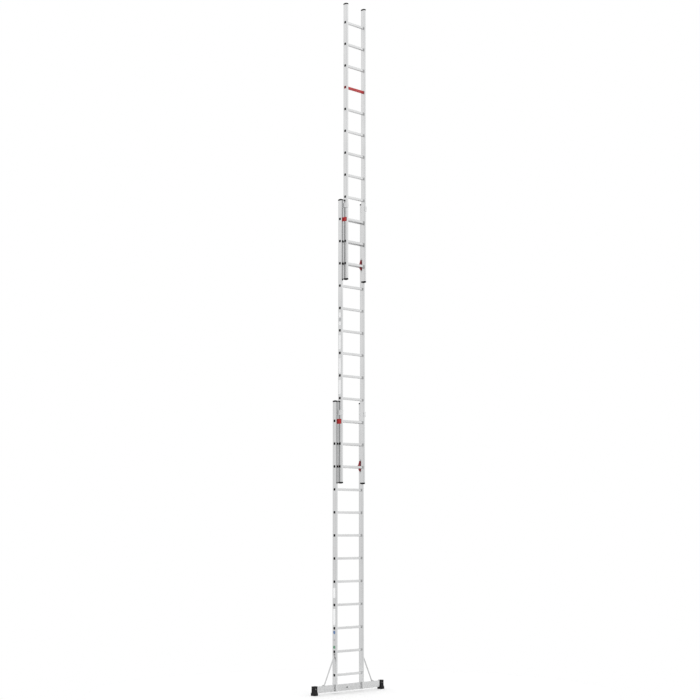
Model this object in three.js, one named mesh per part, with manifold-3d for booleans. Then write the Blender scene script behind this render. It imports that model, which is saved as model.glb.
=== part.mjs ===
// Three-section aluminium extension ladder, standing upright and fully run out.
// Millimetres, +Z up. +X runs along the rungs, -Y is the climbing side, and the
// origin is on the floor, midway between the rails and under the middle section.

import * as THREE from "three";
import { mergeVertices } from "three/addons/utils/BufferGeometryUtils.js";
import Module from "manifold-3d";

const wasm = await Module();
wasm.setup();

// Fitting gap between a piece and the neighbour that holds it.
const GAP = 0.3;

// Rungs: square tubes with eased corners and a swaged collar against each rail.
const RUNG_COUNT = 12;
const RUNG_PITCH = 280;
const RUNG_SIZE = 30;
const RUNG_BORE = 26;
const RUNG_CORNER = 4;
const COLLAR_SIZE = 35;
const COLLAR_HOLE = 28;
const COLLAR_LENGTH = 5;
const WARNING_RUNG = 9;

// Rails: rectangular tubes.
const RAIL_WIDTH = 27.5;
const RAIL_DEPTH = 62;
const RAIL_WALL = 2;
const RAIL_CORNER = 2.5;
const RAIL_ABOVE_TOP_RUNG = 244;

// Stabiliser bar across the feet of the base section, with its rubber feet.
const BAR_LENGTH = 1240;
const BAR_DEPTH = 25;
const BAR_HEIGHT = 80;
const BAR_WALL = 2;
const BAR_BOTTOM = 27;
const FOOT_CENTRE = 599.5;
const FOOT_LENGTH = 61;
const FOOT_TOP = 118;
const SOLE_LENGTH = 63;
const SOLE_DEPTH = 71;
const SOLE_HEIGHT = 22;
const SOLE_CORNER = 6;

// Right half of the foot's outline seen along the bar: a bulging sole, then
// the sleeve over the bar's end.
const FOOT_PROFILE = [
  [29.5, 0], [SOLE_DEPTH / 2, 7], [SOLE_DEPTH / 2, SOLE_HEIGHT], [32, 33], [22.5, 44],
  [22.5, FOOT_TOP],
];

// Each section nests inside the one below and stands in front of it.
const BASE_HALF_WIDTH = 253;
const SIDE_STEP = 37;
const DEPTH_STEP = 54;
const OVERLAP_RUNGS = 3;
const BASE_RUNG_HEIGHT = 220;
const SECTION_RISE = (RUNG_COUNT - OVERLAP_RUNGS) * RUNG_PITCH;

const SECTIONS = [
  { name: "base", below: BASE_RUNG_HEIGHT - BAR_BOTTOM },
  { name: "mid", below: 200 },
  { name: "top", below: 200 },
].map((section, level) => ({
  ...section,
  level,
  halfWidth: BASE_HALF_WIDTH - level * SIDE_STEP,
  y: (1 - level) * DEPTH_STEP,
  firstRung: BASE_RUNG_HEIGHT + level * SECTION_RISE,
}));

const SIDES = [
  { name: "left", sign: -1 },
  { name: "right", sign: 1 },
];

// Flat-bar braces from the rails down to the stabiliser bar.
const BRACE_THICKNESS = 4;
const BRACE_WIDTH = 20;
const BRACE_TOP = 482;
const BRACE_BEND = 446;
const BRACE_FOOT_X = 428;
const BRACE_TAB = 34;

// Guides: bent straps on the head of a lower section, round the rail above.
const GUIDE_THICKNESS = 3;
const GUIDE_HEIGHT = 66;
const GUIDE_BACK = 18;
const GUIDE_FRONT_GAP = 1.5;
const GUIDE_LEG_SETBACK = 2;
const GUIDE_OVER_TOP_RUNG = { base: 68, mid: 140 };

// Stop blocks on the outer faces of the upper rails, by their third rung.
const STOP_THICKNESS = 8.7;
const STOP_FRONT = -22;
const STOP_BACK = 33;
const STOP_BOTTOM = 523;
const STOP_HEIGHT = 62;
const STOP_CHAMFER = 3;

// Hooks: claws that hold the rung below, swinging on upright pins.
const HOOK_THICKNESS = 8;
const HOOK_PIN_RADIUS = 3;
const HOOK_PIN_HOLE_RADIUS = 3.4;
const HOOK_PIN_INSET = 8;
const HOOK_PIN_BACK = 27;
const HOOK_BOTTOM = -50;
const HOOK_TOP = 80;
const HOOK_OUTLINE = [
  [21, -46], [24, HOOK_BOTTOM], [30, HOOK_BOTTOM], [48, -25], [48, -19], [40, -15.5],
  [38, -13.5], [38, 15.3], [60, 15.3], [60, 21], [50, 34], [36, 74], [33, HOOK_TOP],
  [24, HOOK_TOP], [21, 76],
];

// Lugs on the rail above and below each hook, which carry its pin.
const LUG_THICKNESS = 5.5;
const LUG_GAP = 0.6;
const LUG_REACH = 14;
const LUG_FRONT = 20;
const LUG_BACK = 34;
const LUG_ROOT = 1;

const MATERIALS = {
  rail: { color: 0xd3d4d6, roughness: 0.42, metalness: 0.9 },
  rung: { color: 0xd6d7d8, roughness: 0.45, metalness: 0.9 },
  warningRung: { color: 0xb42a30, roughness: 0.4, metalness: 0.1 },
  bar: { color: 0xc9cbcd, roughness: 0.45, metalness: 0.9 },
  bracket: { color: 0xdddee0, roughness: 0.35, metalness: 0.95 },
  redPlastic: { color: 0xb0262d, roughness: 0.5, metalness: 0.0 },
  rubber: { color: 0x1c1c1e, roughness: 0.85, metalness: 0.0 },
};

// ---- Solids -------------------------------------------------------------

function toSolid(geometry) {
  const bare = geometry.clone();
  bare.deleteAttribute("normal");
  bare.deleteAttribute("uv");
  const merged = mergeVertices(bare, 1e-4);
  return new wasm.Manifold(new wasm.Mesh({
    numProp: 3,
    vertProperties: new Float32Array(merged.attributes.position.array),
    triVerts: new Uint32Array(merged.index.array),
  }));
}

function toGeometry(solid) {
  const mesh = solid.getMesh();
  const geometry = new THREE.BufferGeometry();
  geometry.setAttribute("position", new THREE.BufferAttribute(mesh.vertProperties, 3));
  geometry.setIndex(new THREE.BufferAttribute(mesh.triVerts, 1));
  geometry.computeVertexNormals();
  return geometry;
}

function addPiece(group, name, solid, material) {
  const mesh = new THREE.Mesh(toGeometry(solid), new THREE.MeshStandardMaterial(material));
  mesh.name = name;
  group.add(mesh);
}

// ---- Outlines -----------------------------------------------------------

function polygon(points) {
  return new THREE.Shape(points.map(([x, y]) => new THREE.Vector2(x, y)));
}

// Rectangle centred on the origin, its corners cut at 45 degrees.
function easedRectangle(width, height, corner) {
  const w = width / 2;
  const h = height / 2;
  const c = corner;
  return [
    [-w + c, -h], [w - c, -h], [w, -h + c], [w, h - c],
    [w - c, h], [-w + c, h], [-w, h - c], [-w, -h + c],
  ];
}

function rectangle(width, height) {
  const w = width / 2;
  const h = height / 2;
  return [[-w, -h], [w, -h], [w, h], [-w, h]];
}

// Outline of a strap: the line through the points, thickened to its left.
function strapOutline(points, thickness) {
  const vectors = points.map(([x, y]) => new THREE.Vector2(x, y));
  const normals = vectors.slice(1).map((end, i) => {
    const along = end.clone().sub(vectors[i]).normalize();
    return new THREE.Vector2(-along.y, along.x);
  });
  const offset = vectors.map((point, i) => {
    const before = normals[Math.max(i - 1, 0)];
    const after = normals[Math.min(i, normals.length - 1)];
    const mitre = before.clone().add(after).normalize();
    return point.clone().addScaledVector(mitre, thickness / mitre.dot(after));
  });
  return [...points, ...offset.reverse().map((point) => [point.x, point.y])];
}

function extrude(outline, depth, hole) {
  const shape = polygon(outline);
  if (hole) shape.holes.push(polygon(hole));
  return new THREE.ExtrudeGeometry(shape, { depth, bevelEnabled: false });
}

// Outline in X and Y, drawn out upwards from z.
function uprightPrism(outline, z, height, hole) {
  return extrude(outline, height, hole).translate(0, 0, z);
}

// Outline in Y and Z, drawn out along +X from x.
function crossPrism(outline, x, length, hole) {
  const turned = new THREE.Matrix4().makeBasis(
    new THREE.Vector3(0, 1, 0), new THREE.Vector3(0, 0, 1), new THREE.Vector3(1, 0, 0),
  );
  return extrude(outline, length, hole).applyMatrix4(turned).translate(x, 0, 0);
}

// Outline in X and Z, drawn out along Y on both sides of the middle plane.
function sidePrism(outline, width) {
  return extrude(outline, width).rotateX(Math.PI / 2).translate(0, width / 2, 0);
}

function box(xRange, yRange, zRange) {
  const size = [xRange, yRange, zRange].map(([low, high]) => Math.abs(high - low));
  const middle = [xRange, yRange, zRange].map(([low, high]) => (low + high) / 2);
  return new THREE.BoxGeometry(...size).translate(...middle);
}

function uprightPin(x, y, z, radius, height) {
  return new THREE.CylinderGeometry(radius, radius, height, 12)
    .rotateX(Math.PI / 2)
    .translate(x, y, z + height / 2);
}

// ---- Sections -----------------------------------------------------------

function rungHeight(section, number) {
  return section.firstRung + (number - 1) * RUNG_PITCH;
}

function rungSolid(section, number) {
  const half = section.halfWidth;
  const z = rungHeight(section, number);
  const tube = crossPrism(
    easedRectangle(RUNG_SIZE, RUNG_SIZE, RUNG_CORNER), -half, 2 * half,
    easedRectangle(RUNG_BORE, RUNG_BORE, RUNG_CORNER - 1),
  );
  let solid = toSolid(tube);
  for (const side of SIDES) {
    const face = side.sign * (half - RAIL_WIDTH - GAP);
    const start = side.sign > 0 ? face - COLLAR_LENGTH : face;
    const collar = crossPrism(
      easedRectangle(COLLAR_SIZE, COLLAR_SIZE, RUNG_CORNER + 1.5), start, COLLAR_LENGTH,
      easedRectangle(COLLAR_HOLE, COLLAR_HOLE, RUNG_CORNER - 0.5),
    );
    solid = solid.add(toSolid(collar));
  }
  return solid.translate([0, section.y, z]);
}

function railBottom(section) {
  return section.firstRung - section.below;
}

// Lugs above and below the hook, one pair to a rail, with holes for the pin.
function addHookLugs(solid, section, side) {
  const inner = side.sign * (section.halfWidth - RAIL_WIDTH);
  const pinX = inner - side.sign * HOOK_PIN_INSET;
  const pinY = section.y + HOOK_PIN_BACK;
  const lowEdges = [
    section.firstRung + HOOK_TOP + LUG_GAP,
    section.firstRung + HOOK_BOTTOM - LUG_GAP - LUG_THICKNESS,
  ];
  let joined = solid;
  for (const z of lowEdges) {
    const lug = box(
      [inner + side.sign * LUG_ROOT, inner - side.sign * LUG_REACH],
      [section.y + LUG_FRONT, section.y + LUG_BACK],
      [z, z + LUG_THICKNESS],
    );
    const hole = uprightPin(pinX, pinY, z - 1, HOOK_PIN_HOLE_RADIUS, LUG_THICKNESS + 2);
    joined = joined.add(toSolid(lug)).subtract(toSolid(hole));
  }
  return joined;
}

// Slot in the foot of a base rail, where the stabiliser bar passes through.
function cutBarSlot(solid, centre) {
  const slot = box(
    [centre - RAIL_WIDTH, centre + RAIL_WIDTH],
    [SECTIONS[0].y - BAR_DEPTH / 2 - GAP, SECTIONS[0].y + BAR_DEPTH / 2 + GAP],
    [BAR_BOTTOM - BAR_HEIGHT, BAR_BOTTOM + BAR_HEIGHT + GAP],
  );
  return solid.subtract(toSolid(slot));
}

function railSolid(section, side) {
  const bottom = railBottom(section);
  const top = rungHeight(section, RUNG_COUNT) + RAIL_ABOVE_TOP_RUNG;
  const centre = side.sign * (section.halfWidth - RAIL_WIDTH / 2);
  const tube = uprightPrism(
    easedRectangle(RAIL_WIDTH, RAIL_DEPTH, RAIL_CORNER), bottom, top - bottom,
    rectangle(RAIL_WIDTH - 2 * RAIL_WALL, RAIL_DEPTH - 2 * RAIL_WALL),
  );
  let solid = toSolid(tube.translate(centre, section.y, 0));
  const holeSize = RUNG_SIZE + 2 * GAP;
  const hole = crossPrism(
    easedRectangle(holeSize, holeSize, RUNG_CORNER), centre - RAIL_WIDTH, 2 * RAIL_WIDTH,
  );
  for (let number = 1; number <= RUNG_COUNT; number += 1) {
    const cutter = toSolid(hole).translate([0, section.y, rungHeight(section, number)]);
    solid = solid.subtract(cutter);
  }
  if (section.level === 0) return cutBarSlot(solid, centre);
  return addHookLugs(solid, section, side);
}

function addSection(group, section) {
  for (const side of SIDES) {
    addPiece(group, `${section.name}_rail_${side.name}`, railSolid(section, side), MATERIALS.rail);
  }
  for (let number = 1; number <= RUNG_COUNT; number += 1) {
    const warning = section.name === "top" && number === WARNING_RUNG;
    const name = `${section.name}_rung_${String(number).padStart(2, "0")}`;
    addPiece(group, name, rungSolid(section, number),
      warning ? MATERIALS.warningRung : MATERIALS.rung);
  }
}

// ---- Stabiliser bar, feet and braces ------------------------------------

function barSolid() {
  const tube = crossPrism(
    easedRectangle(BAR_DEPTH, BAR_HEIGHT, RAIL_CORNER), -BAR_LENGTH / 2, BAR_LENGTH,
    rectangle(BAR_DEPTH - 2 * BAR_WALL, BAR_HEIGHT - 2 * BAR_WALL),
  );
  return toSolid(tube).translate([0, SECTIONS[0].y, BAR_BOTTOM + BAR_HEIGHT / 2]);
}

// Mirrors the right half of an outline, given from the bottom up.
function bothHalves(half) {
  return [...half, ...half.map(([y, z]) => [-y, z]).reverse()];
}

// Sleeve over the bar's end, spreading towards a wide sole.
function footSolid(side) {
  const centre = side.sign * FOOT_CENTRE;
  const body = crossPrism(bothHalves(FOOT_PROFILE), centre - FOOT_LENGTH / 2, FOOT_LENGTH);
  const solePlate = crossPrism(
    bothHalves(FOOT_PROFILE.slice(0, 3)), centre - SOLE_LENGTH / 2, SOLE_LENGTH,
  );
  const plan = uprightPrism(easedRectangle(SOLE_LENGTH, SOLE_DEPTH, SOLE_CORNER), -1, FOOT_TOP + 2)
    .translate(centre, 0, 0);
  const end = side.sign * (BAR_LENGTH / 2 + GAP);
  const socket = box(
    [end - side.sign * 2 * FOOT_LENGTH, end],
    [-BAR_DEPTH / 2 - GAP, BAR_DEPTH / 2 + GAP],
    [BAR_BOTTOM - GAP, BAR_BOTTOM + BAR_HEIGHT + GAP],
  );
  return toSolid(body).add(toSolid(solePlate)).intersect(toSolid(plan)).subtract(toSolid(socket))
    .translate([0, SECTIONS[0].y, 0]);
}

function braceSolid(side) {
  const railFace = BASE_HALF_WIDTH + GAP;
  const barTop = BAR_BOTTOM + BAR_HEIGHT + GAP;
  const line = [
    [railFace, BRACE_TOP],
    [railFace, BRACE_BEND],
    [BRACE_FOOT_X, barTop],
    [BRACE_FOOT_X + BRACE_TAB, barTop],
  ];
  const outline = strapOutline(line, BRACE_THICKNESS);
  const solid = toSolid(sidePrism(outline, BRACE_WIDTH)).translate([0, SECTIONS[0].y, 0]);
  return side.sign > 0 ? solid : solid.mirror([1, 0, 0]);
}

function addStand(group) {
  addPiece(group, "stabiliser_bar", barSolid(), MATERIALS.bar);
  for (const side of SIDES) {
    addPiece(group, `foot_${side.name}`, footSolid(side), MATERIALS.rubber);
    addPiece(group, `brace_${side.name}`, braceSolid(side), MATERIALS.bracket);
  }
}

// ---- Guides, stops and hooks --------------------------------------------

// Strap fixed to the inner face of the lower rail and bent round the front of
// the upper one.
function guideSolid(lower, upper, side) {
  const face = lower.halfWidth - RAIL_WIDTH - GAP;
  const front = upper.y - RAIL_DEPTH / 2 - GUIDE_FRONT_GAP - GUIDE_THICKNESS;
  const legEnd = upper.halfWidth - RAIL_WIDTH + GUIDE_LEG_SETBACK;
  const line = [[face, lower.y + GUIDE_BACK], [face, front], [legEnd, front]];
  const outline = strapOutline(line.reverse(), GUIDE_THICKNESS);
  const z = rungHeight(lower, RUNG_COUNT) + GUIDE_OVER_TOP_RUNG[lower.name];
  const solid = toSolid(uprightPrism(outline, z, GUIDE_HEIGHT));
  return side.sign > 0 ? solid : solid.mirror([1, 0, 0]);
}

function stopSolid(section, side) {
  const depth = STOP_BACK - STOP_FRONT;
  const outline = easedRectangle(depth, STOP_HEIGHT, STOP_CHAMFER);
  const solid = toSolid(crossPrism(outline, section.halfWidth + GAP, STOP_THICKNESS))
    .translate([0, section.y + (STOP_FRONT + STOP_BACK) / 2,
      section.firstRung + STOP_BOTTOM + STOP_HEIGHT / 2]);
  return side.sign > 0 ? solid : solid.mirror([1, 0, 0]);
}

// Claw whose mouth takes the front of the rung below, with its pin's two ends.
function hookSolid(section, side) {
  const pinX = section.halfWidth - RAIL_WIDTH - HOOK_PIN_INSET;
  const claw = crossPrism(HOOK_OUTLINE, pinX - HOOK_THICKNESS / 2, HOOK_THICKNESS);
  const pinEnd = LUG_GAP + LUG_THICKNESS;
  const root = 4;
  const upperPin = uprightPin(pinX, HOOK_PIN_BACK, HOOK_TOP - root, HOOK_PIN_RADIUS, pinEnd + root);
  const lowerPin = uprightPin(pinX, HOOK_PIN_BACK, HOOK_BOTTOM - pinEnd, HOOK_PIN_RADIUS,
    pinEnd + root);
  const solid = toSolid(claw).add(toSolid(upperPin)).add(toSolid(lowerPin))
    .translate([0, section.y, section.firstRung]);
  return side.sign > 0 ? solid : solid.mirror([1, 0, 0]);
}

function addRunningParts(group, lower, upper) {
  for (const side of SIDES) {
    addPiece(group, `${lower.name}_guide_${side.name}`, guideSolid(lower, upper, side),
      MATERIALS.bracket);
    addPiece(group, `${upper.name}_stop_${side.name}`, stopSolid(upper, side),
      MATERIALS.redPlastic);
    addPiece(group, `${upper.name}_hook_${side.name}`, hookSolid(upper, side),
      MATERIALS.redPlastic);
  }
}

const ladder = new THREE.Group();
for (const section of SECTIONS) addSection(ladder, section);
addStand(ladder);
addRunningParts(ladder, SECTIONS[0], SECTIONS[1]);
addRunningParts(ladder, SECTIONS[1], SECTIONS[2]);

export default ladder;
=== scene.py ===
import math

import bmesh
import bpy
from mathutils import Matrix, Vector


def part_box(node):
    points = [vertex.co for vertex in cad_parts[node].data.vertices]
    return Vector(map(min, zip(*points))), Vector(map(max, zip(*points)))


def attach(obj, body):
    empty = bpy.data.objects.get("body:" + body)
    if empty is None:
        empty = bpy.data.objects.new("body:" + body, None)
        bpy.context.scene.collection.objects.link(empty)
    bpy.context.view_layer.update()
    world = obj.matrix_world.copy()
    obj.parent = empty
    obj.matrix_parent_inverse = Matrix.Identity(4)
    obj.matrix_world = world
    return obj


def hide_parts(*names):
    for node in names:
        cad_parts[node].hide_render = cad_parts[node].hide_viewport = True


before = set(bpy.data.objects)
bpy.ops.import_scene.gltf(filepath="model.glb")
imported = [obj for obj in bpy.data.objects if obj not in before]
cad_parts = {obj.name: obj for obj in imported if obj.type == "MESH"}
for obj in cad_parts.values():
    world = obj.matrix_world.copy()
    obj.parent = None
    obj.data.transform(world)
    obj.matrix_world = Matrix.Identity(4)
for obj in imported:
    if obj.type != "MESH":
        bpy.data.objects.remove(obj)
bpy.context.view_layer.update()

# Sizes in metres, in the ladder's own frame: +X along the rungs, -Y the climbing side, +Z up.

SIDES = {"left": -1.0, "right": 1.0}
SECTIONS = ("base", "mid", "top")
RUNG_NAMES = [f"{number:02d}" for number in range(1, 13)]
WARNING_RUNG = "top_rung_09"
FRONT = (0, -1, 0)
UP = (0, 0, 1)

RAIL_WIDTH = 0.0275
RAIL_DEPTH = 0.062
RAIL_CORNER = 0.0034
RUNG_SIZE = 0.030
TINY = 1e-6


# ---- Mesh helpers

SMOOTH_ANGLE = 35.0
BEVEL_ANGLE = 35.0
BEVEL_SEGMENTS = 2


def link_object(name, data):
    made = bpy.data.objects.new(name, data)
    bpy.context.scene.collection.objects.link(made)
    return made


def add_object(name, bm, material, smooth_angle=SMOOTH_ANGLE):
    """Puts a bmesh in the scene as an object, smooth but for edges sharper than the angle."""
    bmesh.ops.recalc_face_normals(bm, faces=bm.faces)
    mesh = bpy.data.meshes.new(name)
    bm.to_mesh(mesh)
    bm.free()
    mesh.polygons.foreach_set("use_smooth", [True] * len(mesh.polygons))
    mesh.set_sharp_from_angle(angle=math.radians(smooth_angle))
    mesh.materials.append(material)
    return link_object(name, mesh)


def add_piece(name, bm, material, body, replaced=(), smooth_angle=SMOOTH_ANGLE,
              bevel=0.0, even=True):
    """Makes a piece of the ladder, tied to its body and the solids that it
    stands for. bevel is the width of its softened edges; even weights its shading by area."""
    piece = add_object(name, bm, material, smooth_angle)
    if bevel:
        soft = piece.modifiers.new("soft_edges", "BEVEL")
        soft.width = bevel
        soft.segments = BEVEL_SEGMENTS
        soft.limit_method = "ANGLE"
        soft.angle_limit = math.radians(BEVEL_ANGLE)
    if even:
        piece.modifiers.new("even_normals", "WEIGHTED_NORMAL").keep_sharp = True
    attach(piece, body)
    if replaced:
        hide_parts(*replaced)


def add_loop(bm, points):
    return [bm.verts.new(point) for point in points]


def join_loops(bm, first, second):
    for i in range(len(first)):
        j = (i + 1) % len(first)
        bm.faces.new((first[i], first[j], second[j], second[i]))


def loft(bm, outlines, ends="open"):
    """Skins 3-D outlines in turn. ends is open, filled with a face at each end, or joined
    where the last outline meets the first. Returns the outlines' rings of vertices."""
    rings = [add_loop(bm, outline) for outline in outlines]
    for first, second in zip(rings, rings[1:]):
        join_loops(bm, first, second)
    if ends == "filled":
        bm.faces.new(rings[0])
        bm.faces.new(rings[-1])
    elif ends == "joined":
        join_loops(bm, rings[-1], rings[0])
    return rings


def prism(bm, outline, low, high, place):
    """Extrudes a 2-D outline from low to high. place(u, v, w) gives the 3-D point."""
    loft(bm, [[place(u, v, w) for u, v in outline] for w in (low, high)], "filled")


def close_strip(bm, loop):
    """Closes a symmetrical loop from rounded_points with a strip of quads across it."""
    rows = {}
    for vertex in loop:
        rows.setdefault(round(vertex.co.y, 6), []).append(vertex)
    previous = None
    for y in sorted(rows):
        row = sorted(rows[y], key=lambda vertex: vertex.co.x)
        if previous:
            corners = list(dict.fromkeys((previous[0], previous[-1], row[-1], row[0])))
            if len(corners) > 2:
                bm.faces.new(corners)
        previous = row


def notch(place, half, depth):
    """A V groove in a side of rounded_points, as three (place, inset) pairs."""
    return [(place - half, 0), (place, depth), (place + half, 0)]


def rounded_points(width, height, radius, corner_steps=5, across=(), down=()):
    """Rounded rectangle, anticlockwise from its lower left. across and down are extra
    places along the horizontal and vertical sides, each given as (place, inset)."""
    w = width / 2
    h = height / 2
    radius = min(radius, w, h)
    corners = (
        (-w + radius, -h + radius, 180),
        (w - radius, -h + radius, 270),
        (w - radius, h - radius, 0),
        (-w + radius, h - radius, 90),
    )
    sides = (
        [(place, -h + inset) for place, inset in across],
        [(w - inset, place) for place, inset in down],
        [(place, h - inset) for place, inset in reversed(across)],
        [(-w + inset, place) for place, inset in reversed(down)],
    )
    points = []
    for (cx, cy, start), side in zip(corners, sides):
        for step in range(corner_steps + 1):
            a = math.radians(start + 90.0 * step / corner_steps)
            points.append((cx + radius * math.cos(a), cy + radius * math.sin(a)))
        points += side
    return points


def fillet(points, radius, steps, closed=True):
    """Rounds the corners of a line of 2-D points, with at most 0.45 of a side at each end."""
    count = len(points)
    out = []
    for i, point in enumerate(points):
        here = Vector(point)
        if not closed and i in (0, count - 1):
            out.append(tuple(here))
            continue
        before = Vector(points[i - 1]) - here
        after = Vector(points[(i + 1) % count]) - here
        half_turn = before.angle(after) / 2
        reach = min(radius / math.tan(half_turn), 0.45 * before.length, 0.45 * after.length)
        true_radius = reach * math.tan(half_turn)
        middle = (before.normalized() + after.normalized()).normalized()
        centre = here + middle * (true_radius / math.sin(half_turn))
        first = here + before.normalized() * reach - centre
        last = here + after.normalized() * reach - centre
        sweep = first.angle_signed(last)
        for step in range(steps + 1):
            turn = Matrix.Rotation(-sweep * step / steps, 2)
            out.append(tuple(centre + turn @ first))
    return out


def inset_outline(points, distance):
    """Moves every side of an anticlockwise outline inwards by distance."""
    out = []
    for i, point in enumerate(points):
        here = Vector(point)
        before = (here - Vector(points[i - 1])).normalized()
        after = (Vector(points[(i + 1) % len(points)]) - here).normalized()
        first, second = Vector((-before.y, before.x)), Vector((-after.y, after.x))
        mitre = (first + second).normalized()
        out.append(tuple(here + mitre * (distance / mitre.dot(first))))
    return out


def strap_outline(path, thickness, bend_radius):
    """Closed outline of a strap that follows the path, thickened to its left."""
    line = [Vector(point) for point in fillet(path, bend_radius, 6, closed=False)]
    outer = []
    for i, point in enumerate(line):
        along = line[min(i + 1, len(line) - 1)] - line[max(i - 1, 0)]
        normal = Vector((-along.y, along.x)).normalized()
        outer.append(tuple(point + normal * thickness))
    return [tuple(point) for point in line] + outer[::-1]


def circle(steps):
    """(cosine, sine) pairs of evenly spaced steps round a full turn."""
    turns = [2 * math.pi * i / steps for i in range(steps)]
    return [(math.cos(a), math.sin(a)) for a in turns]


def lathe(bm, profile, matrix, segments):
    """Turns (radius, height) points round the local Z axis; ends on the axis are closed."""
    rings = []
    for radius, height in profile:
        spots = circle(segments) if radius else [(0, 0)]
        rings.append(add_loop(bm, [matrix @ Vector((radius * c, radius * s, height))
                                   for c, s in spots]))
    for first, second in zip(rings, rings[1:]):
        for i in range(segments):
            j = (i + 1) % segments
            if len(first) == 1:
                bm.faces.new((first[0], second[i], second[j]))
            elif len(second) == 1:
                bm.faces.new((first[i], second[0], first[j]))
            else:
                bm.faces.new((first[i], first[j], second[j], second[i]))


def facing(point, direction):
    """Matrix that stands local +Z along direction at the point."""
    turn = Vector(UP).rotation_difference(Vector(direction))
    return Matrix.Translation(Vector(point)) @ turn.to_matrix().to_4x4()


def extent(node):
    """A node's distances from the ladder's middle plane, near and far, and its corners."""
    low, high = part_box(node)
    near, far = sorted((abs(low[0]), abs(high[0])))
    return near, far, low, high


# ---- Fasteners

RIVET_SUNK = 0.0012
RIVET_FOOT = 0.96
DOME_ANGLES = (25, 50, 72)
BOLT_WIDTH = 0.011
WASHER_RADIUS, WASHER_EDGE = 0.80 * BOLT_WIDTH, 0.74 * BOLT_WIDTH
HEX_RADIUS, HEX_EDGE = 0.577 * BOLT_WIDTH, 0.50 * BOLT_WIDTH
WASHER_PROFILE = ((0, -0.001), (WASHER_RADIUS, -0.001), (WASHER_RADIUS, 0.0013),
                  (WASHER_EDGE, 0.0017), (0, 0.0017))
HEX_PROFILE = ((0, 0.0012), (HEX_RADIUS, 0.0012), (HEX_RADIUS, 0.0068), (HEX_EDGE, 0.0078),
               (0, 0.0078))


def rivet_profile(radius, height):
    """Domed head with its foot sunk a little into the sheet."""
    dome = [(radius * math.cos(math.radians(a)), height * math.sin(math.radians(a)))
            for a in DOME_ANGLES]
    foot = radius * RIVET_FOOT
    return [(0, -RIVET_SUNK), (foot, -RIVET_SUNK), (foot, 0)] + dome + [(0, height)]


def add_rivets(name, spots, body, material, radius, height):
    """One piece holding the rivet heads at the spots, each a (point, direction)."""
    bm = bmesh.new()
    for point, direction in spots:
        lathe(bm, rivet_profile(radius, height), facing(point, direction), 18)
    add_piece(name, bm, material, body, even=False)


def add_hex_bolt(name, point, direction, body, material):
    """Hexagon head on a washer."""
    bm = bmesh.new()
    lathe(bm, WASHER_PROFILE, facing(point, direction), 28)
    lathe(bm, HEX_PROFILE, facing(point, direction), 6)
    add_piece(name, bm, material, body, smooth_angle=28.0, even=False)


# ---- Material helpers

def add_node(tree, kind, output, inputs, **settings):
    """Adds a node and returns its named output. inputs are by name or number, and each is a
    value or another node's output."""
    node = tree.nodes.new(kind)
    for name, value in settings.items():
        setattr(node, name, value)
    for key, value in inputs.items():
        if isinstance(value, bpy.types.NodeSocket):
            tree.links.new(value, node.inputs[key])
        else:
            node.inputs[key].default_value = value
    return node.outputs[output]


class Paintbox:
    """A material with a short way to add and link nodes."""

    def __init__(self, name):
        self.material = bpy.data.materials.new(name)
        self.material.use_nodes = True
        self.tree = self.material.node_tree
        self.shader = self.tree.nodes["Principled BSDF"]
        self.place = self.node("ShaderNodeTexCoord", "Object", {})

    def node(self, kind, output, inputs, **settings):
        return add_node(self.tree, kind, output, inputs, **settings)

    def noise(self, scale, detail, roughness, distortion=0.0, stretch=None):
        """Noise from 0 to 1. stretch is how many times finer it is along each axis."""
        source = self.place
        if stretch:
            source = self.node("ShaderNodeMapping", "Vector", {"Vector": source, "Scale": stretch})
        return self.node("ShaderNodeTexNoise", "Fac",
                         {"Vector": source, "Scale": scale, "Detail": detail,
                          "Roughness": roughness, "Distortion": distortion})

    def between(self, value, low, high, to_low=0.0, to_high=1.0):
        """The value carried from low..high to to_low..to_high, and kept inside that."""
        return self.node("ShaderNodeMapRange", "Result",
                         {0: value, 1: low, 2: high, 3: to_low, 4: to_high})

    def maths(self, operation, first, second):
        return self.node("ShaderNodeMath", "Value", {0: first, 1: second}, operation=operation)

    def share(self, value, most):
        return self.maths("MULTIPLY", value, most)

    def mix(self, factor, first, second):
        return self.node("ShaderNodeMix", 2, {"Factor": factor, 6: first, 7: second},
                         data_type="RGBA")

    def edges(self, radius, low=0.02, high=0.25):
        """1 on convex and concave edges, 0 on flat faces, broken up by noise."""
        rounded = self.node("ShaderNodeBevel", "Normal", {"Radius": radius}, samples=4)
        flat = self.node("ShaderNodeNewGeometry", "Normal", {})
        agreement = self.node("ShaderNodeVectorMath", "Value", {0: rounded, 1: flat},
                              operation="DOT_PRODUCT")
        turned = self.maths("SUBTRACT", 1.0, agreement)
        broken = self.between(self.noise(140.0, 4.0, 0.6), 0.38, 0.62, 0.25, 1.0)
        return self.share(self.between(turned, low, high), broken)

    def bump(self, height, strength, distance, before=None):
        inputs = {"Strength": strength, "Distance": distance, "Height": height}
        if before:
            inputs["Normal"] = before
        return self.node("ShaderNodeBump", "Normal", inputs)

    def finish(self, colour, roughness, normal):
        for name, source in (("Base Color", colour), ("Roughness", roughness), ("Normal", normal)):
            self.tree.links.new(source, self.shader.inputs[name])
        return self.material


def grey(value, tint=(1.0, 1.0, 1.0)):
    return tuple(value * part for part in tint) + (1.0,)


def scaled(colour, gain, lift=0.0):
    """The colour made gain times as bright, plus lift, as RGBA."""
    return tuple(min(part * gain + lift, 1.0) for part in colour) + (1.0,)


ALUMINIUM_TINT = (0.992, 0.997, 1.0)
LINES_ALONG, LINES_ACROSS, LINES_ALL_WAYS = 5.0, 950.0, 260.0
BAND_SHARE = 0.16
SCRATCH_STRETCH = (37.0, 300.0, 210.0)


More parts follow.
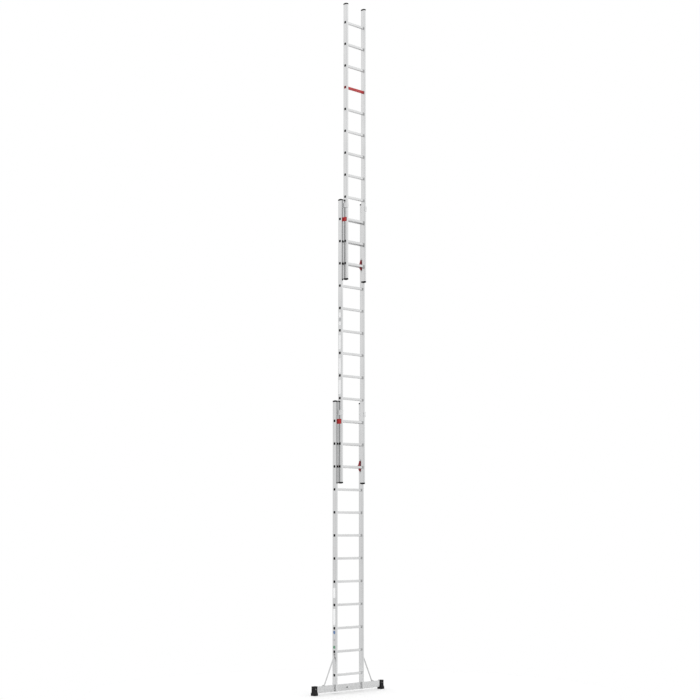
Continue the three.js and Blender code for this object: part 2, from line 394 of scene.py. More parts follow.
def metal(name, value, grain, roughness, metallic=1.0, spread=0.05, tint=ALUMINIUM_TINT):
    """Drawn or extruded metal. grain is the axis of its die lines, x or z, or all for metal
    that has none."""
    box = Paintbox(name)
    if grain == "all":
        stretch = (LINES_ALL_WAYS,) * 3
    else:
        stretch = tuple(LINES_ALONG if axis == grain else LINES_ACROSS for axis in "xyz")
    lines = box.noise(1.0, 3.0, 0.65, stretch=stretch)
    bands = box.noise(1.0, 2.0, 0.5, stretch=tuple(s * BAND_SHARE for s in stretch))
    cloud = box.noise(2.6, 4.0, 0.6)
    smudge = box.noise(21.0, 5.0, 0.62, 0.6)
    scratch = box.between(box.noise(1.0, 2.0, 0.4, 1.6, SCRATCH_STRETCH), 0.66, 0.70)
    worn = box.edges(0.0014)

    low, high = grey(value * (1 - spread), tint), grey(value * (1 + spread * 0.5), tint)
    colour = box.mix(box.between(cloud, 0.36, 0.66), low, high)
    for factor, gain in ((box.between(bands, 0.35, 0.70, 0.0, 0.22), 0.92),
                         (box.between(lines, 0.40, 0.72, 0.0, 0.14), 1.05),
                         (box.share(scratch, 0.35), 0.80)):
        colour = box.mix(factor, colour, grey(value * gain, tint))
    colour = box.mix(box.share(worn, 0.60), colour, grey(min(value * 1.16, 0.95)))

    rough = box.between(smudge, 0.35, 0.68, roughness - 0.06, roughness + 0.09)
    rough = box.maths("ADD", rough, box.between(lines, 0.3, 0.7, -0.02, 0.02))
    rough = box.maths("SUBTRACT", rough, box.share(worn, 0.08))
    normal = box.bump(smudge, 0.025, 0.0008, box.bump(lines, 0.045, 0.0002))
    box.shader.inputs["Metallic"].default_value = metallic
    return box.finish(colour, rough, normal)


DUST = (0.42, 0.40, 0.38, 1.0)


def moulded(name, colour, roughness, dust, gloss, grain_scale=750.0, worn_gain=1.5,
            grain_bump=0.16):
    """Moulded plastic or rubber with a fine spark-eroded grain and rubbed edges."""
    box = Paintbox(name)
    grain = box.noise(grain_scale, 2.0, 0.6)
    mottle = box.noise(34.0, 4.0, 0.6)
    soil = box.noise(9.0, 5.0, 0.65, 0.4)
    worn = box.edges(0.0012)
    tone = box.mix(box.between(mottle, 0.34, 0.66), scaled(colour, 0.80), scaled(colour, 1.12))
    tone = box.mix(box.between(soil, 0.50, 0.72, 0.0, dust), tone, DUST)
    tone = box.mix(box.share(worn, 0.65), tone, scaled(colour, worn_gain, 0.035))
    rough = box.between(mottle, 0.30, 0.70, roughness - 0.07, roughness + 0.08)
    rough = box.maths("SUBTRACT", rough, box.share(worn, 0.10))
    normal = box.bump(mottle, 0.06, 0.0008, box.bump(grain, grain_bump, 0.00025))
    box.shader.inputs["Specular IOR Level"].default_value = gloss
    return box.finish(tone, rough, normal)


STREAK_STRETCH = (8.0, 120.0, 120.0)
ENAMEL_ROUGHNESS = 0.38


def enamel(name, colour, bare_value):
    """Powder coat over metal of the grey bare_value, rubbed through along the edges."""
    box = Paintbox(name)
    peel = box.noise(420.0, 2.0, 0.5)
    mottle = box.noise(26.0, 4.0, 0.6)
    streak = box.noise(1.0, 3.0, 0.6, stretch=STREAK_STRETCH)
    rubbed = box.between(streak, 0.655, 0.70)
    bare = box.share(box.maths("MAXIMUM", box.edges(0.0011, 0.05, 0.30), rubbed), 0.55)
    tone = box.mix(box.between(mottle, 0.34, 0.66), scaled(colour, 0.86), scaled(colour, 1.10))
    tone = box.mix(bare, tone, grey(bare_value))
    rough = box.between(mottle, 0.30, 0.70, ENAMEL_ROUGHNESS - 0.06, ENAMEL_ROUGHNESS + 0.08)
    normal = box.bump(streak, 0.05, 0.0006, box.bump(peel, 0.10, 0.0003))
    box.tree.links.new(box.share(bare, 0.9), box.shader.inputs["Metallic"])
    return box.finish(tone, rough, normal)


SCUFF_STRETCH = (60.0, 420.0, 160.0)
FILM_ROUGHNESS = 0.34
FILM_SOIL = 0.96


def film(name, colour, fade=0.10):
    """Printed vinyl of a plain label, faded towards white and lightly scuffed."""
    box = Paintbox(name)
    cloud = box.noise(46.0, 4.0, 0.6)
    speck = box.noise(620.0, 2.0, 0.5)
    scuff = box.between(box.noise(1.0, 2.0, 0.5, 1.2, SCUFF_STRETCH), 0.64, 0.69)
    tone = box.mix(box.between(cloud, 0.34, 0.66), scaled(colour, FILM_SOIL),
                   scaled(colour, 1.0 - fade, fade))
    tone = box.mix(box.share(scuff, 0.22), tone, grey(0.66))
    tone = box.mix(box.share(box.edges(0.0008), 0.20), tone, grey(0.74))
    rough = box.between(cloud, 0.30, 0.70, FILM_ROUGHNESS - 0.06, FILM_ROUGHNESS + 0.10)
    normal = box.bump(cloud, 0.04, 0.0005, box.bump(speck, 0.06, 0.0002))
    return box.finish(tone, rough, normal)


RAIL_METAL = metal("rail_extrusion", 0.67, "z", 0.12)
RUNG_METAL = metal("rung_extrusion", 0.66, "x", 0.17)
BAR_METAL = metal("bar_extrusion", 0.62, "x", 0.28)
BRACE_METAL = metal("brace_metal", 0.56, "x", 0.26)
STRAP_METAL = metal("strap_metal", 0.74, "z", 0.44, metallic=0.45, spread=0.04)
PIN_STEEL = metal("zinc_steel", 0.52, "all", 0.28, spread=0.10, tint=(1.0, 0.985, 0.95))
DARK_STEEL = metal("blackened_steel", 0.14, "all", 0.42, spread=0.20)
RED_ENAMEL = enamel("red_enamel", (0.50, 0.016, 0.020), 0.60)
RED_PLASTIC = moulded("red_moulding", (0.54, 0.026, 0.028), 0.46, dust=0.05, gloss=0.35,
                      worn_gain=1.25)
HOOK_RED = moulded("red_casting", (0.33, 0.020, 0.034), 0.44, dust=0.05, gloss=0.3, worn_gain=1.3)
CAP_PLASTIC = moulded("black_cap", (0.006, 0.006, 0.0065), 0.55, dust=0.03, gloss=0.15)
RUBBER = moulded("black_rubber", (0.009, 0.009, 0.010), 0.72, dust=0.06, gloss=0.22,
                 grain_scale=420.0, grain_bump=0.24)


# ---- Sections

class Section:
    """Places of one section, read from its CAD nodes."""

    def __init__(self, name):
        self.name = name
        self.body = f"{name}_section"
        low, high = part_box(f"{name}_rail_left")
        self.half = -low[0]
        self.inner = self.half - RAIL_WIDTH
        self.bottom, self.top = low[2], high[2]
        rungs = [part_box(f"{name}_rung_{number}") for number in RUNG_NAMES]
        self.rungs = [(a[2] + b[2]) / 2 for a, b in rungs]
        self.y = (rungs[0][0][1] + rungs[0][1][1]) / 2
        self.first = self.rungs[0]


sections = {name: Section(name) for name in SECTIONS}
base = sections["base"]
bar_low, bar_high = (Vector(corner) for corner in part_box("stabiliser_bar"))
bar_middle = (bar_low + bar_high) / 2
bar_size = bar_high - bar_low


# ---- Rails

RAIL_WALL = 0.002
RAIL_INNER_CORNER = 0.001
DIE_GROOVES = (-0.0195, 0.0195)
DIE_GROOVE_HALF = 0.0013
DIE_GROOVE_DEPTH = 0.0007
HOLE_HALF = 0.0153
BAR_SLOT_HALF = 0.0128
BAR_SLOT_GAP = 0.0003

CAP_SKIRT = 0.011
CAP_WALL = 0.0014
CAP_WAIST = 0.62 * CAP_WALL
CAP_FIT = 0.0001
CAP_DOME = 0.0062
CAP_PLACES = tuple((0.0055 * step, 0) for step in range(-4, 5))
CAP_LEAST_CORNER = 0.0008


def rail_sides(groove):
    """Places along a rail's wide face: two die grooves outside the rung holes."""
    low, high = DIE_GROOVES
    edges = [(place, 0) for place in (-HOLE_HALF, -BAR_SLOT_HALF, BAR_SLOT_HALF, HOLE_HALF)]
    return notch(low, DIE_GROOVE_HALF, groove) + edges + notch(high, DIE_GROOVE_HALF, groove)


def rail_shape(section, sign):
    """Hollow rail with a square hole through both wide faces for every rung, and in the
    base section a slot at its foot for the stabiliser bar."""
    outer = rounded_points(RAIL_WIDTH, RAIL_DEPTH, RAIL_CORNER, down=rail_sides(DIE_GROOVE_DEPTH))
    inner = rounded_points(RAIL_WIDTH - 2 * RAIL_WALL, RAIL_DEPTH - 2 * RAIL_WALL,
                           RAIL_INNER_CORNER, down=rail_sides(0))
    openings = [(z - HOLE_HALF, z + HOLE_HALF, HOLE_HALF) for z in section.rungs]
    if section is base:
        openings.append((section.bottom, bar_high.z + BAR_SLOT_GAP, BAR_SLOT_HALF))
    levels = sorted({section.bottom, section.top}
                    | {z for opening in openings for z in opening[:2]})
    centre = sign * (section.half - RAIL_WIDTH / 2)
    count = len(outer)

    def rings_of(bm, outline):
        return [add_loop(bm, [(centre + x, section.y + y, z) for x, y in outline])
                for z in levels]

    def is_open(row, i):
        if not 0 <= row < len(levels) - 1:
            return False
        (x1, y1), (x2, y2) = outer[i], outer[(i + 1) % count]
        if abs(abs(x1) - RAIL_WIDTH / 2) > TINY or abs(x1 - x2) > TINY:
            return False
        z = (levels[row] + levels[row + 1]) / 2
        y = abs(y1 + y2) / 2
        return any(low < z < high and y < half for low, high, half in openings)

    bm = bmesh.new()
    outer_rings, inner_rings = rings_of(bm, outer), rings_of(bm, inner)
    for row in range(len(levels) - 1):
        o1, o2 = outer_rings[row], outer_rings[row + 1]
        i1, i2 = inner_rings[row], inner_rings[row + 1]
        for i in range(count):
            j = (i + 1) % count
            if not is_open(row, i):
                bm.faces.new((o1[i], o1[j], o2[j], o2[i]))
                bm.faces.new((i1[j], i1[i], i2[i], i2[j]))
                continue
            if row and not is_open(row - 1, i):
                bm.faces.new((o1[i], o1[j], i1[j], i1[i]))
            if not is_open(row + 1, i):
                bm.faces.new((o2[j], o2[i], i2[i], i2[j]))
            if not is_open(row, (i - 1) % count):
                bm.faces.new((o1[i], i1[i], i2[i], o2[i]))
            if not is_open(row, j):
                bm.faces.new((o1[j], o2[j], i2[j], i1[j]))
    first, inside = outer_rings[0], inner_rings[0]
    for i in range(count):
        j = (i + 1) % count
        if not is_open(0, i):
            bm.faces.new((first[i], first[j], inside[j], inside[i]))
    join_loops(bm, outer_rings[-1], inner_rings[-1])
    return bm


def add_rail(section, side):
    add_piece(f"{section.name}_{side}_rail_profile", rail_shape(section, SIDES[side]),
              RAIL_METAL, section.body, [f"{section.name}_rail_{side}"])


def add_rail_cap(section, side, end):
    """Black cap pushed over the end of a rail: a short skirt and a head domed front to back."""
    up = 1.0 if end == "top" else -1.0
    z0 = section.top if end == "top" else section.bottom
    x0 = SIDES[side] * (section.half - RAIL_WIDTH / 2)
    wall = CAP_WALL
    # Height above the rail's end, growth beyond the rail's outline and share of the dome.
    stages = (
        (0.0, CAP_FIT, 0), (-CAP_SKIRT, CAP_FIT, 0), (-CAP_SKIRT, wall * 0.7, 0),
        (-CAP_SKIRT + 0.0008, wall, 0), (-CAP_SKIRT + 0.0030, wall, 0),
        (-CAP_SKIRT + 0.0036, CAP_WAIST, 0), (-0.0010, CAP_WAIST, 0), (-0.0004, wall, 0),
        (0.0010, wall, 0), (0.0022, wall - 0.0002, 0.25), (0.0030, wall - 0.0008, 0.55),
        (0.0034, wall - 0.0018, 0.80), (0.0036, wall - 0.0034, 0.95), (0.0037, -0.0060, 1.0),
        (0.0037, -0.0100, 1.0), (0.0037, -0.0128, 1.0),
    )
    outlines = []
    for rise, grow, dome in stages:
        outline = []
        for x, y in rounded_points(RAIL_WIDTH + 2 * grow, RAIL_DEPTH + 2 * grow,
                                   max(RAIL_CORNER + grow, CAP_LEAST_CORNER), down=CAP_PLACES):
            arch = CAP_DOME * (1.0 - (y / (RAIL_DEPTH / 2 + wall)) ** 2)
            outline.append((x0 + x, section.y + y, z0 + up * (rise + dome * arch)))
        outlines.append(outline)
    bm = bmesh.new()
    rings = loft(bm, outlines)
    bm.faces.new(rings[0])
    close_strip(bm, rings[-1])
    add_piece(f"{section.name}_{side}_{end}_cap", bm, CAP_PLASTIC, section.body)


for section in sections.values():
    for side in SIDES:
        add_rail(section, side)
        for end in ("top",) if section is base else ("top", "bottom"):
            add_rail_cap(section, side, end)


# ---- Rungs

RUNG_CORNER = 0.0045
LEAST_CORNER = 0.0022
TREAD_MARGIN = 0.0004
RUNG_TEETH = 7
TOOTH_HALF = 0.0007
TOOTH_DEPTH = 0.0009
SIDE_GROOVES = (-0.0055, 0.0055)
SIDE_GROOVE_HALF = 0.0008
SIDE_GROOVE_DEPTH = 0.0005


def rung_outline(size, cut):
    """Rounded square, toothed along its tread and its underside and grooved down its front
    and back. cut is 1 where the teeth and grooves are, 0 where the tube is smooth."""
    flat = RUNG_SIZE / 2 - RUNG_CORNER - TREAD_MARGIN
    pitch = 2 * flat / RUNG_TEETH
    across, down = [], []
    for i in range(1, RUNG_TEETH):
        across += notch(-flat + pitch * i, TOOTH_HALF, TOOTH_DEPTH * cut)
    for place in SIDE_GROOVES:
        down += notch(place, SIDE_GROOVE_HALF, SIDE_GROOVE_DEPTH * cut)
    corner = max(RUNG_CORNER + (size - RUNG_SIZE) / 2, LEAST_CORNER)
    return rounded_points(size, size, corner, across=across, down=down)


def rung_stations(section):
    """(x, size, cut) from the left end's bore, out round the flare and along the rung."""
    half, inner = section.half, section.inner
    left = [
        (half - 0.0060, 0.0260, 0), (half - 0.0012, 0.0282, 0), (half + 0.0003, 0.0304, 0),
        (half + 0.0009, 0.0314, 0), (half + 0.0009, 0.0326, 0), (half + 0.0004, 0.0334, 0),
        (half - 0.0003, 0.0336, 0), (half - 0.0004, RUNG_SIZE, 0), (inner + 0.0004, RUNG_SIZE, 0),
        (inner - 0.0001, 0.0345, 0), (inner - 0.0007, 0.0350, 0), (inner - 0.0050, 0.0350, 0),
        (inner - 0.0060, 0.0340, 0), (inner - 0.0066, 0.0316, 0), (inner - 0.0078, RUNG_SIZE, 0),
        (inner - 0.0140, RUNG_SIZE, 0), (inner - 0.0160, RUNG_SIZE, 1),
    ]
    return [(-x, size, cut) for x, size, cut in left] + left[::-1]


def add_rung(section, index):
    """Rung tube, joined through its bore, with a collar on each side of both rails."""
    bm = bmesh.new()
    loft(bm, [[(x, section.y + u, section.rungs[index] + v) for u, v in rung_outline(size, cut)]
              for x, size, cut in rung_stations(section)], "joined")
    number = RUNG_NAMES[index]
    node = f"{section.name}_rung_{number}"
    if node == WARNING_RUNG:
        material, slot = RED_ENAMEL, "warning_red"
    else:
        material, slot = RUNG_METAL, "rung_aluminium"
    add_piece(f"{section.name}_{number}_rung_tube", bm, material, section.body, [node])


for section in sections.values():
    for index in range(len(RUNG_NAMES)):
        add_rung(section, index)


# ---- Stabiliser bar

BAR_WALL = 0.002
BAR_CORNER = 0.0034
BAR_INNER_CORNER = 0.0015
BAR_GROOVES = (-0.0225, 0.0225)
BAR_GROOVE_HALF = 0.0014
BAR_GROOVE_DEPTH = 0.0007
FIXING_DROP = 0.003
BAR_BOLT_X, BAR_RIVET_X = -0.036, 0.033


def round_bar(x, outline):
    return [(x, bar_middle.y + u, bar_middle.z + v) for u, v in outline]


def add_bar():
    """Hollow bar with two die grooves along each broad face."""
    grooves = []
    for place in BAR_GROOVES:
        grooves += notch(place, BAR_GROOVE_HALF, BAR_GROOVE_DEPTH)
    outer = rounded_points(bar_size.y, bar_size.z, BAR_CORNER, down=grooves)
    inner = rounded_points(bar_size.y - 2 * BAR_WALL, bar_size.z - 2 * BAR_WALL, BAR_INNER_CORNER,
                           down=[(place, 0) for place, _ in grooves])
    bm = bmesh.new()
    loft(bm, [round_bar(bar_low.x, outer), round_bar(bar_high.x, outer),
              round_bar(bar_high.x, inner), round_bar(bar_low.x, inner)], "joined")
    add_piece("stabiliser_bar_profile", bm, BAR_METAL, base.body,
              ["stabiliser_bar"])


def add_bar_fixings():
    """Bolt and rivet in the middle of the bar's front."""
    z = bar_middle.z - FIXING_DROP
    add_hex_bolt("bar_middle_bolt", (BAR_BOLT_X, bar_low.y, z), FRONT, base.body,
                 DARK_STEEL)
    add_rivets("bar_middle_rivet", [((BAR_RIVET_X, bar_low.y, z), FRONT)], base.body,
               PIN_STEEL, 0.0055, 0.0022)


# ---- Feet

FOOT_TRIM = 0.007
SLEEVE_TRIM = 0.002
SLEEVE_DEPTH = 0.045
SLEEVE_CORNER = 0.005
SLEEVE_BANDS = (0.0500, 0.0985)
# Height, half depth and corner radius, from the sole up to the sleeve.
FOOT_BULGE = (
    (0.0060, 0.0345, 0.0090), (0.0090, 0.0353, 0.0095), (0.0140, 0.0355, 0.0095),
    (0.0200, 0.0354, 0.0095), (0.0252, 0.0347, 0.0092), (0.0300, 0.0333, 0.0088),
    (0.0340, 0.0310, 0.0082), (0.0372, 0.0282, 0.0074), (0.0400, 0.0252, 0.0064),
    (0.0424, 0.0233, 0.0056), (0.0450, 0.0225, 0.0050),
)
# Drop from the sleeve's top and how much narrower the sleeve is there.
SLEEVE_RIM = ((0.0030, 0), (0.0012, 0.0008), (0.0002, 0.0028), (0, 0.0056), (0, 0.018),
              (0.0010, 0.020))
TREAD_TEETH = 9
TREAD_MARGIN_Y = 0.0040
TREAD_SHOULDER, TREAD_TOP = 0.0022, 0.0085
TREAD_CUT = 0.0032
OVAL_Z = 0.0785
OVAL_HALF_HEIGHT = 0.0205
OVAL_HALF_WIDTH, OVAL_HALF_WIDTH_AT_END = 0.0215, 0.0145
# How far inside the oval's edge, and how far proud of the sleeve.
OVAL_RIM = ((0.0, -0.0006), (0.0003, 0.0006), (0.0009, 0.0011), (0.0021, 0.0011),
            (0.0027, 0.0006), (0.0030, -0.0006))
# Distance out of the sleeve's mouth, and growth beyond the bar's outline.
LIP_SECTION = ((-0.002, 0.0002), (0.0034, 0.0002), (0.0042, 0.0012), (0.0042, 0.0030),
               (0.0030, 0.0044), (-0.002, 0.0048))
SCREW_PROUD = 0.0001


def foot_sleeve(bm, centre, length, top):
    """Sleeve over the bar's end, with two raised bands, swelling towards its sole."""
    sleeve = length - SLEEVE_TRIM
    first, last = FOOT_BULGE[0][0], FOOT_BULGE[-1][0]
    stages = []
    for z, half_depth, corner in FOOT_BULGE:
        share = (z - first) / (last - first)
        stages.append((z, length - SLEEVE_TRIM * share ** 2, 2 * half_depth, corner))
    for band in SLEEVE_BANDS:
        for rise, proud in ((0, 0), (0.0008, 1), (0.0038, 1), (0.0046, 0)):
            stages.append((band + rise, sleeve + 0.0012 * proud, SLEEVE_DEPTH + 0.0014 * proud,
                           SLEEVE_CORNER + 0.0005 * proud))
    for drop, shrink in SLEEVE_RIM:
        stages.append((top - drop, sleeve - shrink, SLEEVE_DEPTH - shrink, SLEEVE_CORNER))
    loft(bm, [[(centre.x + x, centre.y + y, z) for x, y in rounded_points(wide, deep, corner, 6)]
              for z, wide, deep, corner in stages], "filled")


def foot_tread(bm, centre, length, depth):
    """Toothed sole, its teeth running along the bar."""
    pitch = (depth - 2 * TREAD_MARGIN_Y) / TREAD_TEETH
    outline = [(depth / 2 - TREAD_SHOULDER, TREAD_TOP), (-depth / 2 + TREAD_SHOULDER, TREAD_TOP)]
    for tooth in range(TREAD_TEETH):
        start = -depth / 2 + TREAD_MARGIN_Y + pitch * tooth
        outline += [(start + 0.0006, 0.0), (start + pitch * 0.62, 0.0)]
        if tooth < TREAD_TEETH - 1:
            outline += [(start + pitch * 0.70, TREAD_CUT), (start + pitch * 0.92, TREAD_CUT)]
    half = length / 2 - TREAD_MARGIN_Y
    prism(bm, outline, -half, half, lambda u, v, w: (centre.x + w, centre.y + u, v))


def foot_oval(bm, middle, out, half_width):
    """Raised oval rim on a face of the sleeve."""
    along = Vector((abs(out.y), abs(out.x), 0))
    rims = []
    for inside, proud in OVAL_RIM:
        wide, tall = half_width - inside, OVAL_HALF_HEIGHT - inside
        rims.append([middle + along * (wide * c) + out * proud + Vector((0, 0, tall * s))
                     for c, s in circle(40)])
    loft(bm, rims, "joined")


def add_foot(side):
    """Rubber boot: ribbed sleeve over the bar's end, flaring to a treaded sole."""
    sign = SIDES[side]
    low, high = (Vector(corner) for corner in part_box(f"foot_{side}"))
    centre, size = (low + high) / 2, high - low
    half_sleeve, half_depth = (size.x - SLEEVE_TRIM) / 2, SLEEVE_DEPTH / 2
    bm = bmesh.new()
    foot_sleeve(bm, centre, size.x, high.z - FOOT_TRIM)
    foot_tread(bm, centre, size.x, size.y)
    middle = Vector((centre.x, centre.y, OVAL_Z))
    for out in (Vector(FRONT), -Vector(FRONT)):
        foot_oval(bm, middle + out * half_depth, out, OVAL_HALF_WIDTH)
    out = Vector((sign, 0, 0))
    foot_oval(bm, middle + out * half_sleeve, out, OVAL_HALF_WIDTH_AT_END)
    add_piece(f"foot_{side}_boot", bm, RUBBER, base.body, [f"foot_{side}"],
              smooth_angle=32.0)

    # Moulded lip round the bar where it goes into the sleeve.
    mouth = centre.x - sign * half_sleeve
    rims = []
    for along, grow in LIP_SECTION:
        outline = rounded_points(bar_size.y + 2 * grow, bar_size.z + 2 * grow, BAR_CORNER + grow)
        rims.append(round_bar(mouth - sign * along, outline))
    bm = bmesh.new()
    loft(bm, rims, "joined")
    add_piece(f"foot_{side}_lip", bm, RUBBER, base.body)

    spots = [((centre.x, centre.y + d * (half_depth + SCREW_PROUD), OVAL_Z), (0, d, 0))
             for d in (-1, 1)]
    add_rivets(f"foot_{side}_screws", spots, base.body, PIN_STEEL, 0.0045, 0.0018)


# ---- Braces

BRACE_THICKNESS = 0.004
BRACE_BEND_RADIUS = 0.009
BRACE_HEAD, BRACE_TOE = 0.036, 0.034
HEAD_BOLT_DROP, TOE_BOLT_INSET = 0.016, 0.015


def add_brace(side):
    """Flat bar bent twice, with a bolt through each end."""
    sign = SIDES[side]
    near, far, low, high = extent(f"brace_{side}")
    foot, top = low[2], high[2]
    y0, half = (low[1] + high[1]) / 2, (high[1] - low[1]) / 2
    path = [(near, top), (near, top - BRACE_HEAD), (far - BRACE_TOE, foot), (far, foot)]
    outline = strap_outline(path, BRACE_THICKNESS, BRACE_BEND_RADIUS)
    bm = bmesh.new()
    prism(bm, outline, -half, half, lambda u, v, w: (sign * u, y0 + w, v))
    add_piece(f"brace_{side}_strap", bm, BRACE_METAL, base.body,
              [f"brace_{side}"], smooth_angle=25.0, bevel=0.0008)
    head = (sign * (near + BRACE_THICKNESS), y0, top - HEAD_BOLT_DROP)
    toe = (sign * (far - TOE_BOLT_INSET), y0, foot + BRACE_THICKNESS)
    for end, spot, direction in (("top", head, (sign, 0, 0)), ("bar", toe, UP)):
        add_hex_bolt(f"brace_{side}_{end}_bolt", spot, direction, base.body,
                     PIN_STEEL)


add_bar()
for side in SIDES:
    add_foot(side)
    add_brace(side)
add_bar_fixings()


# ---- Guides and stops

GUIDE_THICKNESS = 0.003
GUIDE_BEND_RADIUS = 0.0065
GUIDE_TRIM = 0.002
GUIDE_RIVETS_Y, GUIDE_RIVETS_Z = (-0.018, 0.008), (0.014, 0.052)


def add_guide(section, side):
    """Bent strap riveted inside a rail and round the front of the rail that slides in it."""
    sign = SIDES[side]
    node = f"{section.name}_guide_{side}"
    leg, face, low, high = extent(node)
    outline = strap_outline([(leg, low[1]), (face, low[1]), (face, high[1])], GUIDE_THICKNESS,
                            GUIDE_BEND_RADIUS)
    bm = bmesh.new()
    prism(bm, outline, low[2] + GUIDE_TRIM, high[2] - GUIDE_TRIM,
          lambda u, v, w: (sign * u, v, w))
    name = f"{section.name}_{side}_guide"
    add_piece(f"{name}_strap", bm, STRAP_METAL, section.body, [node],
              smooth_angle=25.0, bevel=0.0007)
    inside = face - GUIDE_THICKNESS
    spots = [((sign * inside, section.y + dy, low[2] + dz), (-sign, 0, 0))
             for dy in GUIDE_RIVETS_Y for dz in GUIDE_RIVETS_Z]
    add_rivets(f"{name}_rivets", spots, section.body, STRAP_METAL,
               0.0038, 0.0016)


# How much shorter than in CAD a stop is at its foot and at its top.
STOP_TRIM = {"mid": (0.001, 0.001), "top": (0.009, 0.003)}
STOP_CORNER, STOP_LEAST_CORNER = 0.005, 0.002
STOP_GROOVES = (-0.010, 0.010)
STOP_GROOVE_MOUTH, STOP_GROOVE_FLOOR = 0.0011, 0.0006
STOP_GROOVE_DEPTH = 0.0009
STOP_DISH = 0.0012
STOP_SCREWS_Z = (-0.013, 0.013)


def add_stop(section, side):
    """Moulded block on the rail's outer face, grooved, dished and held by two screws."""
    sign = SIDES[side]
    node = f"{section.name}_stop_{side}"
    near, far, low, high = extent(node)
    foot_trim, top_trim = STOP_TRIM[section.name]
    foot, top = low[2] + foot_trim, high[2] - top_trim
    y0, z0 = (low[1] + high[1]) / 2, (foot + top) / 2
    depth, height = high[1] - low[1], top - foot
    # Distance out, growth beyond the block's outline and whether the grooves are cut there.
    stages = ((near, -0.0010, 0), (near + 0.0010, 0.0, 0), (near + 0.0020, 0.0, 1),
              (far - 0.0022, 0.0, 1), (far - 0.0008, -0.0007, 1), (far, -0.0024, 1),
              (far, -0.0090, 0), (far - STOP_DISH, -0.0102, 0))
    outlines = []
    for x, grow, cut in stages:
        grooves = []
        for place in STOP_GROOVES:
            floor = STOP_GROOVE_DEPTH * cut
            grooves += [(place - STOP_GROOVE_MOUTH, 0), (place - STOP_GROOVE_FLOOR, floor),
                        (place + STOP_GROOVE_FLOOR, floor), (place + STOP_GROOVE_MOUTH, 0)]
        points = rounded_points(depth + 2 * grow, height + 2 * grow,
                                max(STOP_CORNER + grow, STOP_LEAST_CORNER), down=grooves)
        outlines.append([(sign * x, y0 + u, z0 + v) for u, v in points])
    bm = bmesh.new()
    loft(bm, outlines, "filled")
    name = f"{section.name}_{side}_stop"
    add_piece(f"{name}_block", bm, RED_PLASTIC, section.body, [node])
    spots = [((sign * (far - STOP_DISH), y0, z0 + dz), (sign, 0, 0)) for dz in STOP_SCREWS_Z]
    add_rivets(f"{name}_screws", spots, section.body, RED_PLASTIC, 0.0034, 0.0008)


# ---- Hooks

HOOK_HALF = 0.004
# Places behind the rungs' middle and above the section's first rung.
HOOK_OUTLINE = (
    (0.021, -0.046), (0.024, -0.050), (0.030, -0.050), (0.048, -0.025), (0.048, -0.019),
    (0.040, -0.0155), (0.038, -0.0135), (0.038, 0.0153), (0.060, 0.0153), (0.060, 0.021),
    (0.050, 0.034), (0.036, 0.074), (0.033, 0.080), (0.024, 0.080), (0.021, 0.076),
)
HOOK_LOW, HOOK_HIGH = -0.050, 0.080
HOOK_CORNER = 0.0022
# Inset from the outline and half the thickness there, from the claw's sunk face to its edge.
HOOK_EDGE = ((0.0032, HOOK_HALF - 0.0007), (0.0027, HOOK_HALF), (0.0009, HOOK_HALF),
             (0.0003, HOOK_HALF - 0.0003), (0.0, HOOK_HALF - 0.0009))
PIN_BACK = 0.027
PIN_INSET = 0.008
PIN_RADIUS = 0.003
PIN_HEAD_GAP = 0.0003
PIN_DOME = ((0.0042, 0.0014), (0.0026, 0.0024), (0, 0.0026))
PIN_HEAD_RADIUS = 0.0046

LUG_THICKNESS = 0.0055
LUG_GAP = 0.0006
LUG_HOLE = 0.0034
LUG_ROUND = 0.0078
LUG_BEVEL, LUG_BEVEL_GROW = 0.0005, 0.96
LUG_TO_RAIL, LUG_TO_TIP = 0.0086, 0.006
LUG_HALF_DEPTH = 0.007
PLATE_SIZE, PLATE_CORNER = (0.0105, 0.030), 0.003
PLATE_BACK, PLATE_LIFT, PLATE_PROUD, PLATE_SUNK = 0.0250, 0.0085, 0.0016, 0.0003
PLATE_RIVET = 0.0205


def add_hook(section, side):
    """Cast claw with a raised rim, on an upright pin with a domed head at each end."""
    node = f"{section.name}_hook_{side}"
    pin_x = SIDES[side] * (section.inner - PIN_INSET)
    faces = HOOK_EDGE + tuple((inset, -across) for inset, across in reversed(HOOK_EDGE))
    bm = bmesh.new()
    loft(bm, [[(pin_x + across, section.y + u, section.first + v)
               for u, v in fillet(inset_outline(HOOK_OUTLINE, inset), HOOK_CORNER, 4)]
              for inset, across in faces], "filled")
    name = f"{section.name}_{side}_hook"
    add_piece(f"{name}_claw", bm, HOOK_RED, node, [node], smooth_angle=30.0)

    foot = section.first + HOOK_LOW - LUG_GAP - LUG_THICKNESS
    rise = HOOK_HIGH - HOOK_LOW + 2 * (LUG_GAP + LUG_THICKNESS)
    gap = PIN_HEAD_GAP
    below = [(radius, -height) for radius, height in reversed(PIN_DOME)]
    above = [(radius, rise + height) for radius, height in PIN_DOME]
    shaft = [(PIN_HEAD_RADIUS, -gap), (PIN_RADIUS, -gap), (PIN_RADIUS, rise + gap),
             (PIN_HEAD_RADIUS, rise + gap)]
    bm = bmesh.new()
    lathe(bm, below + shaft + above,
          Matrix.Translation((pin_x, section.y + PIN_BACK, foot)), 20)
    add_piece(f"{name}_pin", bm, PIN_STEEL, node, even=False)


def lug_outline():
    """Outline of a lug about its pin, +u away from the rail: square but for a round tip."""
    outline = []
    for c, s in circle(40):
        reach = min((LUG_TO_TIP if c > 0 else LUG_TO_RAIL) / max(abs(c), TINY),
                    LUG_HALF_DEPTH / max(abs(s), TINY))
        if c > 0:
            reach = min(reach, LUG_ROUND)
        outline.append((c * reach, s * reach))
    return outline


